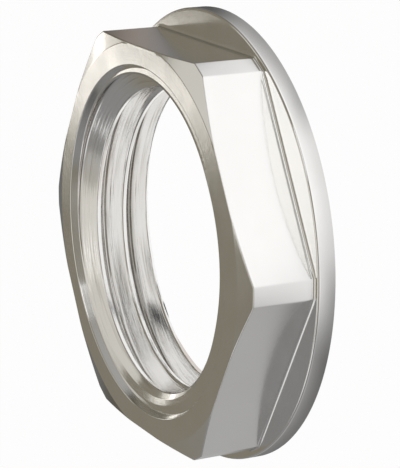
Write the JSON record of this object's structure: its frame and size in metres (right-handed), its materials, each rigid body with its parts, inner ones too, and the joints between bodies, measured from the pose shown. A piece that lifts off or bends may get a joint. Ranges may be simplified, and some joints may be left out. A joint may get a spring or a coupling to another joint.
{
  "type": "lock nut",
  "caption": "Thin flanged hexagon lock nut with turned corners, a chamfered front, a shallow recess and a right-hand parallel pipe thread; clamps a threaded spigot in a panel.",
  "frame": {"origin": "middle of the flange's flat bearing face, on the thread axis", "axes": "+Z along the thread axis from the bearing face to the front of the hexagon; two flats face +X and -X, and two corners lie on +Y and -Y"},
  "size_m": [0.0278, 0.0278, 0.0054],
  "materials": {
    "nickel_plate": "gloss"
  },
  "bodies": {
    "root": {"lock_nut": "nickel_plate"}
  },
  "joints": []
}
